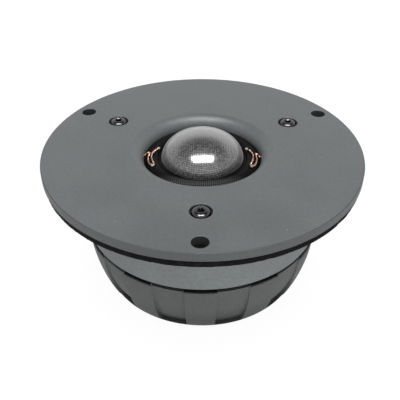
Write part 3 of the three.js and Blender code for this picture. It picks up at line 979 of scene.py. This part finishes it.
def twisted(path):
    """Strands wound round a path."""
    chosen = settings().leads
    strand = chosen.radius / (1 + 1 / math.sin(math.pi / chosen.strands))
    orbit = chosen.radius - strand
    shapes = []
    for first in range(chosen.strands):
        travelled = 0.0
        points = []
        for i, here in enumerate(path):
            ahead = path[min(i + 1, len(path) - 1)]
            behind = path[max(i - 1, 0)]
            along = (ahead - behind).normalized()
            sideways = along.cross(Vector((0, 0, 1))).normalized()
            upward = sideways.cross(along)
            travelled += (here - behind).length
            angle = TURN * (travelled / chosen.lay + first / chosen.strands)
            points.append(here + orbit * (math.cos(angle) * sideways + math.sin(angle) * upward))
        shapes.append(wire(points, strand))
    return joined(shapes)


def bead(centre, radius):
    """A flattened, slightly lumpy drop of adhesive."""
    bm = bmesh.new()
    bmesh.ops.create_icosphere(bm, subdivisions=4, radius=radius)
    for vert in bm.verts:
        lump = noise.noise(vert.co / radius * 1.3 + centre * 500)
        vert.co += vert.co.normalized() * radius * 0.14 * lump
    bmesh.ops.scale(bm, vec=(1, 1, 0.8), verts=bm.verts)
    return moved(bm, centre)


# ---------- housing band and gasket ----------

GASKET_BULGE = 0.4 * MM


def band_shell():
    wall = BAND_RADIUS - 2 * MM
    ledge = wall - 1.8 * MM
    shelf = BAND_UNDER + 2 * MM
    outline = rounded([
        (ledge, BAND_UNDER, 0.3 * MM), (BAND_RADIUS, BAND_UNDER, 0.25 * MM),
        (BAND_RADIUS, RIM_UNDER, 0.2 * MM), (wall, RIM_UNDER, 0.2 * MM),
        (wall, shelf, 0), (ledge, shelf, 0.3 * MM),
    ])
    bm = revolve(outline)
    gap = Vector((0.3 * MM, 0, 0.3 * MM))
    low = Vector((BOARD_LOW.x, wall - 6 * MM, BOARD_LOW.z)) - gap
    high = Vector((BOARD_HIGH.x, BAND_RADIUS + 6 * MM, BOARD_HIGH.z)) + gap
    return cut(bm, block(low, high, 0.5 * MM))


def gasket_ring():
    """The foam ring, its skin made uneven by fine noise."""
    low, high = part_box("mounting_gasket")
    outer = high.x + GASKET_BULGE
    inner = BAND_RADIUS + 1.7 * MM
    rounding = 0.2 * MM
    corners = rounded([
        (inner, low.z, rounding), (outer, low.z, rounding),
        (outer, high.z, rounding), (inner, high.z, rounding),
    ], 3)
    outline = []
    spacing = 0.45 * MM
    for here, there in zip(corners, corners[1:] + corners[:1]):
        parts = max(1, round((there - here).length / spacing))
        outline += [here.lerp(there, k / parts) for k in range(parts)]
    bm = revolve(outline, FINE_RING_STEPS)
    bm.normal_update()
    for vert in bm.verts:
        lump = noise.noise(vert.co * 900) + 0.6 * noise.noise(vert.co * 2300)
        inward = min(lump, 0.15) * 0.14 * MM
        if vert.co.z < high.z - rounding:
            vert.co += vert.normal * inward
    return bm


# ---------- terminals ----------

def board_body():
    """The board with a slot for each blade, and a plus and a minus moulded on its face."""
    low, high = BOARD_LOW, BOARD_HIGH
    bm = block(low, high, 0.5 * MM)
    slots = []
    for tab in ("terminal_tab_positive", "terminal_tab_negative"):
        near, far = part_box(tab)
        gap = Vector((0.2 * MM, 0, 0.2 * MM))
        start = Vector((near.x, low.y - MM, near.z)) - gap
        stop = Vector((far.x, high.y + MM, far.z)) + gap
        slots.append(block(start, stop))
    bm = cut(bm, joined(slots))
    rim = []
    middle = (low.z + high.z) / 2
    for x, width, height in ((8.2, 1.7, 0.5), (8.2, 0.5, 1.7), (-8.2, 1.7, 0.5)):
        centre = Vector((x * MM, high.y - 0.35 * MM, middle))
        half = Vector((width * MM / 2, 0.5 * MM, height * MM / 2))
        rim.append(block(centre - half, centre + half, 0.1 * MM, 2))
    return joined([bm, *rim])


def blade_tab(name):
    """A blade with a tapered end and a locking hole."""
    low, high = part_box(name)
    radius = 0.75 * MM
    hole = plot((0, low.z - MM), (radius, low.z - MM), (radius, high.z + MM), (0, high.z + MM))
    bore = moved(revolve(hole, BORE_STEPS, closed=False), ((low.x + high.x) / 2, high.y - 2.6 * MM, 0))
    bm = cut(block(low, high), bore)
    corners = [edge for edge in bm.edges if all(v.co.y > high.y - 1e-6 for v in edge.verts)
               and abs(edge.verts[0].co.z - edge.verts[1].co.z) > 1e-5]
    bmesh.ops.bevel(bm, geom=corners, offset=0.7 * MM, segments=1, profile=0.5, affect="EDGES", material=-1)
    tip = [edge for edge in bm.edges if all(v.co.y > high.y - 0.8 * MM for v in edge.verts)
           and abs(edge.verts[0].co.z - edge.verts[1].co.z) < 1e-6]
    bmesh.ops.bevel(bm, geom=tip, offset=0.2 * MM, segments=2, profile=0.5, affect="EDGES", material=-1)
    return bm


# ---------- rear cup ----------

BOWL_POWER = 1.56
SHORT_EDGE = 0.4 * MM
PANEL_EDGE = math.radians(38)


def bowl_radius(height, rim, base, rim_height):
    """Radius of a bowl's rounded side at a height above its base."""
    turn = math.acos(max(0.0, 1 - height / rim_height) ** (BOWL_POWER / 2))
    return base + (rim - base) * math.sin(turn) ** (2 / BOWL_POWER)


def in_sector(co, first, width, count):
    """Whether a point lies in one of the sectors of that width, the first of them centred on a bearing."""
    bearing = math.degrees(math.atan2(co.x, -co.y))
    off = (bearing - first + 180 / count) % (360 / count) - 180 / count
    return abs(off) < width / 2


def push(bm, faces, place):
    """Extrudes a region of faces and puts each of its points where place() says."""
    grown = bmesh.ops.extrude_face_region(bm, geom=faces)["geom"]
    left = [face for face in faces if face.is_valid]
    bmesh.ops.delete(bm, geom=left, context="FACES")
    for vert in grown:
        if isinstance(vert, bmesh.types.BMVert):
            vert.co = place(vert.co)


def cup_bores():
    """Cutters for the three screws in the cup's floor."""
    screws = settings().screws
    bores = []
    for i in range(3):
        low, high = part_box(f"cup_screw_{i + 1}")
        bore = counterbore(screws.head_radius + SCREW_GAP, screws.core_radius + SCREW_GAP, -1.95 * MM,
                           -settings().cup.floor - MM, 0, 0.2 * MM)
        bores.append(moved(turned(bore, 180, "X"), ((low.x + high.x) / 2, (low.y + high.y) / 2, 0)))
    return bores


def cup_shell():
    """The turned cup with its bores cut, then its pockets and vent slots pushed back."""
    chosen = settings().cup
    rim = BAND_RADIUS + chosen.rim_proud
    base = rim - chosen.taper
    top = BAND_UNDER
    rim_height = top - chosen.seam
    slot_low = rim_height - chosen.slot
    pocket_rim = rim - chosen.pocket_rim
    pocket_base = base - chosen.pocket_base
    inner_rim = rim - chosen.wall
    spigot = inner_rim + chosen.spigot
    inner_base = base - chosen.wall
    width = 180 / chosen.panels
    ledge_top = chosen.foot + 0.6 * MM

    side = 22
    heights = [chosen.foot * (k / 5) ** 2 for k in range(6)] + [ledge_top]
    heights += [ledge_top + (slot_low - ledge_top) * k / side for k in range(1, side + 1)]
    outer = [Vector((bowl_radius(z, rim, base, rim_height), z)) for z in heights]
    crown = plot((rim, rim_height), (pocket_rim, rim_height), (spigot, rim_height), (spigot, top),
                 (inner_rim, top), (inner_rim, slot_low))
    inner = []
    depth = slot_low - chosen.floor
    for k in range(1, 12):
        z = slot_low - depth * math.sin(math.pi / 2 * k / 11)
        inner.append(Vector((bowl_radius(z - chosen.floor, inner_rim, inner_base, depth), z)))
    outline = [Vector((0, 0)), *outer, *crown, *inner, Vector((0, chosen.floor))]
    bm = cut(revolve(outline, closed=False), joined(cup_bores()))

    def pocket_place(co):
        bearing = math.atan2(co.y, co.x)
        radius = min(math.hypot(co.x, co.y), bowl_radius(co.z, pocket_rim, pocket_base, rim_height))
        return Vector((radius * math.cos(bearing), radius * math.sin(bearing), co.z))

    def slot_place(co):
        return Vector((co.x, co.y, min(co.z, slot_low)))

    pockets = []
    slots = []
    for face in bm.faces:
        centre = face.calc_center_median()
        radius = math.hypot(centre.x, centre.y)
        outside = radius > bowl_radius(min(centre.z, rim_height), pocket_rim, pocket_base, rim_height)
        if in_sector(centre, width, width, chosen.panels) and centre.z > chosen.foot and outside:
            pockets.append(face)
        if in_sector(centre, 0, width, chosen.panels) and centre.z > slot_low + WELD:
            slots.append(face)
    push(bm, pockets, pocket_place)
    push(bm, [face for face in slots if face.is_valid], slot_place)
    tidy(bm, 1e-6)

    edges = []
    for edge in bm.edges:
        if len(edge.link_faces) != 2 or edge.calc_length() < SHORT_EDGE:
            continue
        middle = (edge.verts[0].co + edge.verts[1].co) / 2
        radius = math.hypot(middle.x, middle.y)
        behind_panel = bowl_radius(min(middle.z, rim_height), pocket_rim, pocket_base, rim_height) - 1.2 * MM
        on_side = chosen.foot - WELD < middle.z < slot_low - 0.01 * MM and radius > behind_panel
        if on_side and edge.calc_face_angle() > PANEL_EDGE:
            edges.append(edge)
    bmesh.ops.bevel(bm, geom=edges, offset=chosen.edge_round, segments=3, profile=0.5, affect="EDGES",
                    material=-1, clamp_overlap=True)
    return tidy(bm, 1e-6)


# ---------- operators ----------

class TWEETER_OT_faceplate(bpy.types.Operator):
    """Build the faceplate with its flared throat, mounting holes and counterbores"""
    bl_idname = "tweeter.faceplate"
    bl_label = "Faceplate"

    def execute(self, context):
        show("turned_faceplate", faceplate_body(), plate_paint(), ["faceplate"])
        return {"FINISHED"}


class TWEETER_OT_plate_screws(bpy.types.Operator):
    """Build the three button-head screws in the faceplate"""
    bl_idname = "tweeter.plate_screws"
    bl_label = "Faceplate screws"

    def execute(self, context):
        seat = screw_seat()
        shank = seat - lowest("faceplate_screw_1").z
        for i, bearing in enumerate(bearings(3)):
            screw = turned(button_screw(shank), 17 + 41 * i)
            moved(screw, at_bearing(plate_screw_radius(), bearing, seat))
            show(f"button_screw_{i + 1}", screw, screw_plating(),
                 [f"faceplate_screw_{i + 1}"])
        return {"FINISHED"}


class TWEETER_OT_dome(bpy.types.Operator):
    """Build the woven dome"""
    bl_idname = "tweeter.dome"
    bl_label = "Dome"

    def execute(self, context):
        show("woven_dome", dome_shell(), coated_cloth(), ["dome"], "diaphragm",
             weighted=False)
        return {"FINISHED"}


class TWEETER_OT_surround(bpy.types.Operator):
    """Build the surround between the faceplate and the dome"""
    bl_idname = "tweeter.surround"
    bl_label = "Surround"

    def execute(self, context):
        piece = show("doped_surround", surround_sheet(), roll_coating(), ["surround"], None,
                     weighted=False)
        follow_roll(piece)
        return {"FINISHED"}


def follow_roll(piece):
    """Carries the piece's placing into its mesh."""
    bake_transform(piece)


class TWEETER_OT_leads(bpy.types.Operator):
    """Build the two twisted leads and the adhesive that holds them"""
    bl_idname = "tweeter.leads"
    bl_label = "Leads"

    def execute(self, context):
        for name, side in (("left", -1), ("right", 1)):
            path = lead_path(side)
            lead = show(f"litz_lead_{name}", twisted(path), lead_copper(),
                        [f"lead_wire_{name}"], None, weighted=False)
            follow_roll(lead)
            drops = [bead(path[-1] + Vector((0, 0, 0.1 * MM)), 0.5 * MM), bead(path[GLUED_AT], 0.55 * MM)]
            glued = show(f"lead_adhesive_{name}", joined(drops), glue(), (), None,
                         weighted=False)
            follow_roll(glued)
        return {"FINISHED"}


class TWEETER_OT_band(bpy.types.Operator):
    """Build the housing band"""
    bl_idname = "tweeter.band"
    bl_label = "Housing band"

    def execute(self, context):
        show("moulded_band", band_shell(), band_moulding(), ["housing_band"])
        return {"FINISHED"}


class TWEETER_OT_gasket(bpy.types.Operator):
    """Build the foam gasket under the faceplate's rim"""
    bl_idname = "tweeter.gasket"
    bl_label = "Gasket"

    def execute(self, context):
        ring = show("foam_gasket", gasket_ring(), gasket_foam(), ["mounting_gasket"],
                    weighted=False)
        return {"FINISHED"}


class TWEETER_OT_cup(bpy.types.Operator):
    """Build the panelled rear cup with its vent slots"""
    bl_idname = "tweeter.cup"
    bl_label = "Rear cup"

    def execute(self, context):
        show("moulded_cup", cup_shell(), cup_moulding(), ["rear_cup"])
        return {"FINISHED"}


class TWEETER_OT_cup_screws(bpy.types.Operator):
    """Build the three button-head screws in the cup's base"""
    bl_idname = "tweeter.cup_screws"
    bl_label = "Cup screws"

    def execute(self, context):
        for i in range(3):
            low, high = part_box(f"cup_screw_{i + 1}")
            seat = low.z + settings().screws.head_height
            screw = turned(turned(button_screw(high.z - seat), 23 * i), 180, "X")
            moved(screw, ((low.x + high.x) / 2, (low.y + high.y) / 2, seat))
            show(f"base_screw_{i + 1}", screw, screw_plating(), [f"cup_screw_{i + 1}"])
        return {"FINISHED"}


class TWEETER_OT_terminals(bpy.types.Operator):
    """Build the terminal board and its two blades"""
    bl_idname = "tweeter.terminals"
    bl_label = "Terminals"

    def execute(self, context):
        show("slotted_terminal_board", board_body(), black_plastic(), ["terminal_board"])
        tin = metal("Tinned brass", (0.82, 0.80, 0.72), 0.3, 0.6, 800.0, 0.2)
        for sign in ("positive", "negative"):
            tab = f"terminal_tab_{sign}"
            show(f"blade_{sign}", blade_tab(tab), tin, [tab])
        return {"FINISHED"}


class TWEETER_OT_inner_finishes(bpy.types.Operator):
    """Give the pieces that are carried over from the frame their finishes"""
    bl_idname = "tweeter.inner_finishes"
    bl_label = "Inner finishes"

    def execute(self, context):
        steel = metal("Zinc-plated steel", (0.72, 0.73, 0.74), 0.35, 0.6, 500.0, 0.2)
        nickel = metal("Nickel plating", (0.80, 0.79, 0.76), 0.25, 0.4, 700.0, 0.15)
        copper = metal("Drawn copper", (0.85, 0.58, 0.46), 0.3, 0.5, 700.0, 0.25)
        enamel = metal("Enamelled copper", (0.62, 0.30, 0.20), 0.3, 0.3, 1500.0, 0.3)
        foil = metal("Former foil", (0.82, 0.82, 0.82), 0.3, 0.5, 900.0, 0.1)
        wool = foam("Damping foam", (0.16, 0.16, 0.17), 900.0, 0.3)
        felt = foam("Grey felt", (0.35, 0.35, 0.35), 2600.0, 0.15)
        red = coated("Red insulation", (0.50, 0.10, 0.09), 900.0, 0.4, grain_depth=0.004, tone=0.05,
                     dust=0.1, wear=0.0)
        choices = {
            "top_plate": steel, "yoke": steel, "shorting_cap": copper, "coil_former": foil,
            "voice_coil": enamel, "diaphragm_carrier": black_plastic(), "vent_felt": felt,
            "dome_damper": wool, "chamber_foam": wool,
        }
        for side in ("left", "right"):
            choices[f"lead_lug_{side}"] = nickel
            choices[f"hookup_wire_{side}"] = red
        for i in range(6):
            choices[f"magnet_{i + 1}"] = nickel
        for i in range(3):
            choices[f"standoff_{i + 1}"] = nickel
        for name, finish in choices.items():
            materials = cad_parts[name].data.materials
            materials.clear()
            materials.append(finish)
        return {"FINISHED"}


# ---------- studio ----------

FLOOR_GLOW = 0.9
CAMERA_PLACE = Vector((1.79, -164.46, 148.42)) * MM
CAMERA_TARGET = Vector((-0.78, 0, 26.46)) * MM
LAMP_TARGET = (0, 0, 0.045)


def aim(thing, place, target):
    """Puts a lamp or camera in its place and points it at a target."""
    thing.location = place
    thing.rotation_euler = (Vector(target) - Vector(place)).to_track_quat("-Z", "Y").to_euler()


def panel_light(name, place, width, depth, radiance, diffuse=True, gloss=True):
    """A soft box of an even brightness, which a glossy surface shows at that level."""
    light = bpy.data.lights.new(name, "AREA")
    light.shape = "RECTANGLE"
    light.size = width
    light.size_y = depth
    light.energy = radiance * math.pi * width * depth
    lamp = bpy.data.objects.new(name, light)
    bpy.context.scene.collection.objects.link(lamp)
    aim(lamp, place, LAMP_TARGET)
    lamp.visible_diffuse = diffuse
    lamp.visible_glossy = gloss
    lamp.visible_camera = False


def shown_share(wiring):
    """1 for the rays that show the background: camera, gloss and glass."""
    rays = wiring.add("LightPath").outputs
    bent = wiring.math("MAXIMUM", rays["Is Glossy Ray"], rays["Is Transmission Ray"])
    return wiring.math("MAXIMUM", rays["Is Camera Ray"], bent)


def studio_world():
    """A white sweep up to half height behind the object, a dimmer room in front and a dark ceiling."""
    world = bpy.data.worlds.new("Studio")
    bpy.context.scene.world = world
    world.use_nodes = True
    wiring = Wiring(world.node_tree)
    ray = wiring.add("TexCoord").outputs["Generated"]
    split = wiring.add("SeparateXYZ", {0: ray}).outputs
    sweep = wiring.spread(split[1], -0.25, 0.35, 0.8, 1.0)
    ceiling = wiring.spread(split[2], 0.52, 0.82, 1.0, 0.06)
    sides = wiring.spread(wiring.math("ABSOLUTE", split[0]), 0.55, 0.9, 1.0, 0.78)
    level = wiring.math("MULTIPLY", wiring.math("MULTIPLY", sweep, ceiling), sides)
    camera = wiring.add("LightPath").outputs["Is Camera Ray"]
    strength = wiring.math("MAXIMUM", level, camera)
    background = world.node_tree.nodes["Background"]
    background.inputs["Color"].default_value = (1, 1, 1, 1)
    wiring.join(strength, background.inputs["Strength"])


def studio_floor(shade):
    """A plain pale floor that glows for the camera and still takes the object's shadow."""
    bm = bmesh.new()
    bmesh.ops.create_grid(bm, x_segments=1, y_segments=1, size=3)
    moved(bm, (0, 0, -0.05 * MM))
    mesh = bpy.data.meshes.new("studio_floor")
    bm.to_mesh(mesh)
    bm.free()
    floor = bpy.data.objects.new("studio_floor", mesh)
    bpy.context.scene.collection.objects.link(floor)
    material, wiring, shader, place = start_finish("Studio floor")
    cloud = wiring.noise(place, 4.0)
    base = linear(shade)
    wiring.fill(shader, {
        "Base Color": wiring.blend(cloud, base, scaled(base, 0.97)), "Roughness": 0.9,
        "Specular IOR Level": 0.1, "Emission Color": (1, 1, 1, 1),
        "Emission Strength": wiring.math("MULTIPLY", shown_share(wiring), FLOOR_GLOW),
    })
    mesh.materials.append(material)


class TWEETER_OT_studio(bpy.types.Operator):
    """Set up the floor, the lamps and the camera"""
    bl_idname = "tweeter.studio"
    bl_label = "Studio"

    def execute(self, context):
        chosen = settings().studio
        scene = context.scene
        scene.view_settings.view_transform = "Standard"
        camera = bpy.data.cameras.new("Camera")
        camera.lens = chosen.lens
        camera.sensor_width = 36
        viewer = bpy.data.objects.new("Camera", camera)
        scene.collection.objects.link(viewer)
        aim(viewer, CAMERA_PLACE, CAMERA_TARGET)
        scene.camera = viewer
        studio_world()
        studio_floor(chosen.floor_shade)
        fill = chosen.top_level
        glint = chosen.glint_level
        panel_light("Overhead fill", (0, -0.1, 1.0), 1.2, 1.2, 0.45 * fill, gloss=False)
        panel_light("Front fill", (0.3, -1.2, 0.42), 1.0, 0.7, 2.4 * fill, gloss=False)
        panel_light("Overhead panel", (0.02, -0.33, 1.05), 0.92, 0.47, 11.5 * glint, diffuse=False)
        panel_light("Low front panel", (0.21, -1.0, 0.07), 0.14, 0.18, 28 * glint, diffuse=False)
        return {"FINISHED"}


class TWEETER_PT_panel(bpy.types.Panel):
    """The tweeter's pieces, in the order in which they are built"""
    bl_idname = "TWEETER_PT_panel"
    bl_label = "Dome Tweeter"
    bl_space_type = "VIEW_3D"
    bl_region_type = "UI"
    bl_category = "Tweeter"

    def draw(self, context):
        for operator in OPERATORS:
            self.layout.operator(operator.bl_idname)


OPERATORS = (
    TWEETER_OT_studio, TWEETER_OT_faceplate, TWEETER_OT_plate_screws, TWEETER_OT_dome, TWEETER_OT_surround,
    TWEETER_OT_leads, TWEETER_OT_band, TWEETER_OT_gasket, TWEETER_OT_cup, TWEETER_OT_cup_screws,
    TWEETER_OT_terminals, TWEETER_OT_inner_finishes,
)
CLASSES = (
    PlateSettings, ScrewSettings, DomeSettings, LeadSettings, CupSettings, FinishSettings, StudioSettings,
    TweeterSettings, *OPERATORS, TWEETER_PT_panel,
)


def register():
    for cls in CLASSES:
        bpy.utils.register_class(cls)
    bpy.types.Scene.tweeter = PointerProperty(type=TweeterSettings)


def unregister():
    del bpy.types.Scene.tweeter
    for cls in reversed(CLASSES):
        bpy.utils.unregister_class(cls)


def main():
    register()
    for operator in OPERATORS:
        group, name = operator.bl_idname.split(".")
        getattr(getattr(bpy.ops, group), name)()


if __name__ == "__main__":
    main()
